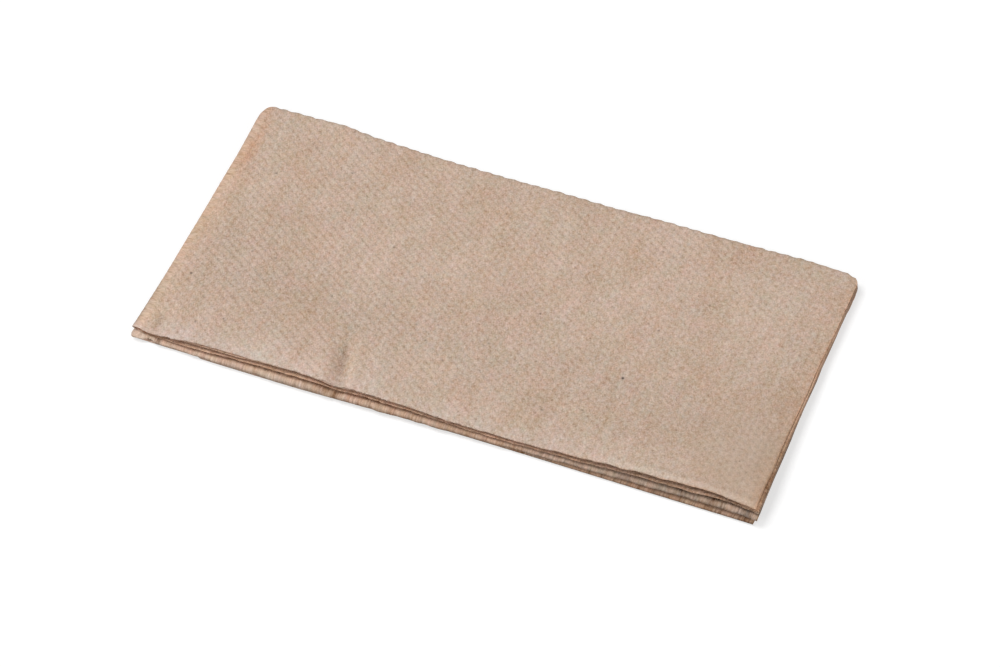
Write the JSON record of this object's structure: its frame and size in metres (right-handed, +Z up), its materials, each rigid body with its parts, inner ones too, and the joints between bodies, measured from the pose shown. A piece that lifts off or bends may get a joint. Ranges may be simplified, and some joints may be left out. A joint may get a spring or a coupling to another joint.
{
  "type": "paper napkin",
  "caption": "Folded brown tissue napkin: one square sheet folded into a flat oblong, with a long far fold, folded left end and open cut edges.",
  "frame": {"origin": "under the middle of the folded napkin, on the surface that it lies on", "axes": "+X along the napkin to its cut end, +Y from the near open edge to the far fold, +Z up"},
  "size_m": [0.2, 0.1, 0.0054],
  "materials": {
    "paper": "matte embossed unbleached tissue"
  },
  "bodies": {
    "root": {"napkin": "paper"}
  },
  "joints": []
}
